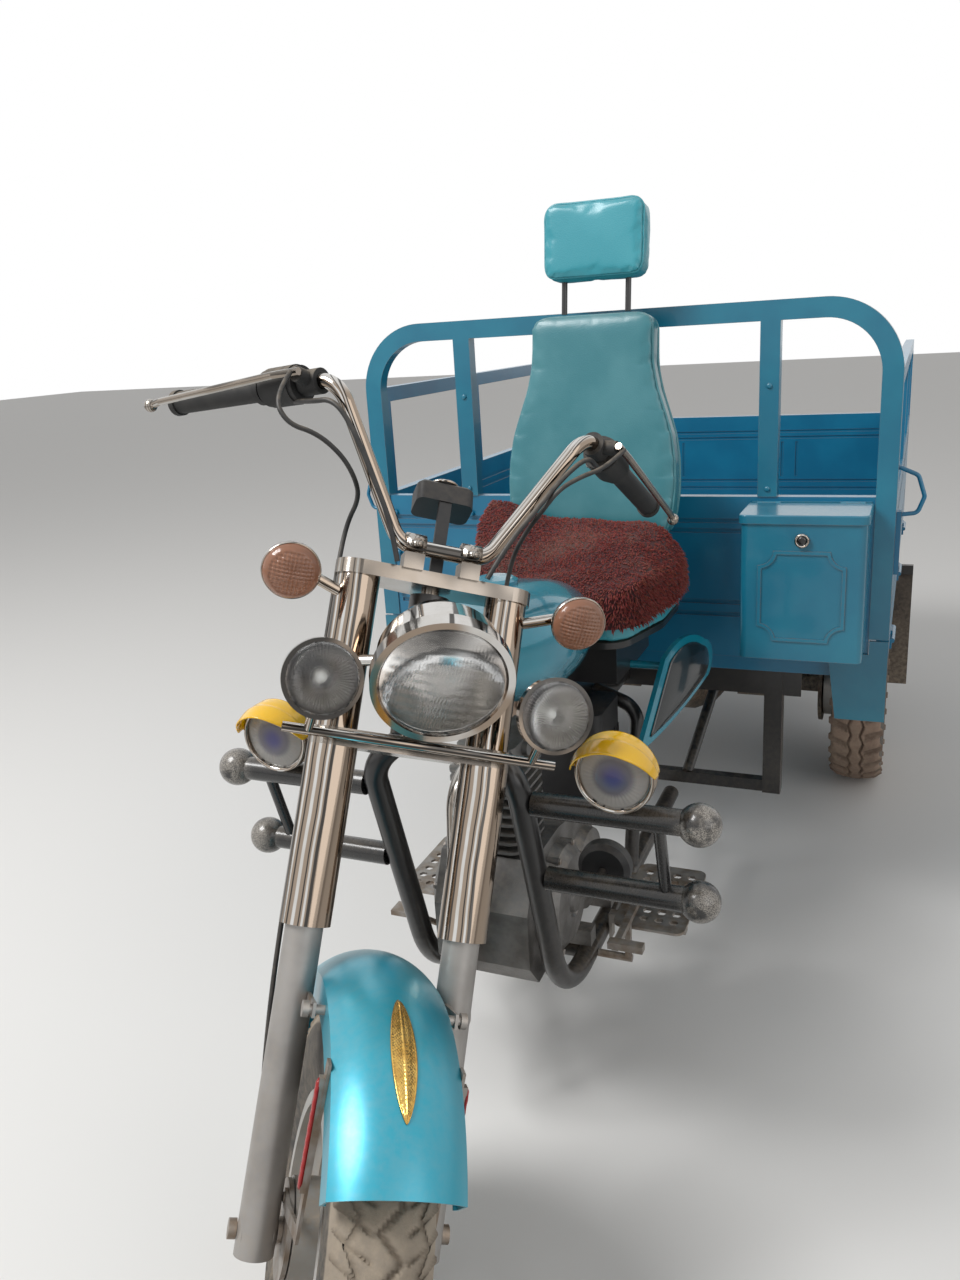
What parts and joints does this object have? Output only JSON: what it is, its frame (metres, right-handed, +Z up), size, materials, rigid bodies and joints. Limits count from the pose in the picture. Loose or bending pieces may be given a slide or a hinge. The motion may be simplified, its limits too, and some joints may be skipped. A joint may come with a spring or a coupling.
{
  "type": "cargo motor tricycle",
  "caption": "Motorcycle-fronted cargo tricycle with a rounded headboard, drop-side bed, saddle with backrest, tool box, crash bar and leaf-sprung rear axle.",
  "frame": {"origin": "centre of the vehicle's footprint on the ground, wheels standing on Z = 0", "axes": "+Z up, +Y towards the tailgate, +X to the vehicle's left"},
  "size_m": [1.3064, 3.4232, 1.6183],
  "materials": {
    "frame_black": "satin black enamel, dusty",
    "bed_blue": "deep blue-green enamel",
    "hoop_teal": "greyer teal enamel",
    "turquoise": "metallic turquoise lacquer",
    "chrome": "bright plated",
    "bright_gold": "plated, engraved",
    "leg_grey": "cast and painted silver grey",
    "alloy": "cast, polished covers",
    "steel": "plain, lightly rusted",
    "rusty_steel": "painted, dusty, rust at the edges",
    "rim_paint": "silver enamel, dusty",
    "tyre": "dusty tread",
    "rubber": "grips and soft plates",
    "flap_rubber": "weathered sheet",
    "black_plastic": "moulded",
    "lens": "clear lens",
    "fog_lens": "clear glass, bluish in the middle",
    "amber": "amber lens",
    "red_lens": "red lens",
    "visor_yellow": "translucent yellow hood",
    "rug": "maroon pile",
    "seat_vinyl": "pale grey-turquoise vinyl with piping",
    "cushion": "black vinyl"
  },
  "bodies": {
    "chassis": {"frame_main": "frame_black", "bed_frame": "frame_black", "crash_bar": "frame_black", "engine": "alloy", "exhaust": "chrome", "fuel_tank": "turquoise", "air_box": "black_plastic", "side_covers": "turquoise", "seat_frame": "frame_black", "seat_cushion": "cushion", "seat_rug": "rug", "backrest": "seat_vinyl", "headrest": "seat_vinyl", "footplates": "frame_black", "foot_controls": "steel", "bed_floor": "bed_blue", "headboard": "hoop_teal", "front_board": "bed_blue", "tool_box": "hoop_teal", "leaf_springs": "frame_black", "rear_axle": "rusty_steel", "skirts": "hoop_teal", "mud_flaps": "flap_rubber", "tail_lamps": "red_lens", "fog_lamps": "chrome", "fog_lenses": "fog_lens", "fog_visors": "visor_yellow", "horn": "black_plastic"},
    "fork": {"fork_yokes": "frame_black", "fork_covers": "chrome", "fork_lowers": "leg_grey", "front_axle": "steel", "handlebar": "chrome", "hand_controls": "rubber", "levers": "alloy", "headlight": "chrome", "lamp_lenses": "lens", "lamp_bar": "chrome", "signal_lenses": "amber", "instrument": "black_plastic", "front_fender": "turquoise", "fender_ornament": "bright_gold", "fender_stays": "steel"},
    "front_wheel": {"front_tyre": "tyre", "front_rim": "rim_paint"},
    "rear_wheel_left": {"rear_tyre_left": "tyre", "rear_rim_left": "rim_paint"},
    "rear_wheel_right": {"rear_tyre_right": "tyre", "rear_rim_right": "rim_paint"},
    "gate_left": {"gate_left": "bed_blue"},
    "gate_right": {"gate_right": "bed_blue"},
    "tailgate": {"tailgate": "bed_blue"},
    "tool_box_lid": {"tool_box_lid": "hoop_teal"}
  },
  "joints": [
    {"name": "steering", "type": "hinge", "parent": "chassis", "child": "fork", "pos_m": [0, -1.10614, 0.9], "axis": [0, 0.4787, 0.878], "range_deg": [-77.2, 2.8]},
    {"name": "front_wheel_spin", "type": "hinge", "parent": "fork", "child": "front_wheel", "pos_m": [0.00726, -1.45235, 0.28499], "axis": [0.7965, 0.5308, -0.2894], "continuous": true},
    {"name": "rear_wheel_left_spin", "type": "hinge", "parent": "chassis", "child": "rear_wheel_left", "pos_m": [0.515, 0.80666, 0.282], "axis": [1, 0, 0], "continuous": true},
    {"name": "rear_wheel_right_spin", "type": "hinge", "parent": "chassis", "child": "rear_wheel_right", "pos_m": [-0.515, 0.80666, 0.282], "axis": [1, 0, 0], "continuous": true},
    {"name": "gate_left_hinge", "type": "hinge", "parent": "chassis", "child": "gate_left", "pos_m": [0.6015, 0.80716, 0.643], "axis": [0, 1, 0], "range_deg": [0, 140]},
    {"name": "gate_right_hinge", "type": "hinge", "parent": "chassis", "child": "gate_right", "pos_m": [-0.6015, 0.80716, 0.643], "axis": [0, -1, 0], "range_deg": [0, 140]},
    {"name": "tailgate_hinge", "type": "hinge", "parent": "chassis", "child": "tailgate", "pos_m": [0, 1.70566, 0.643], "axis": [-1, 0, 0], "range_deg": [0, 165]},
    {"name": "tool_box_lid_hinge", "type": "hinge", "parent": "chassis", "child": "tool_box_lid", "pos_m": [0.4315, -0.10434, 0.9925], "axis": [-1, 0, 0], "range_deg": [0, 85]}
  ]
}
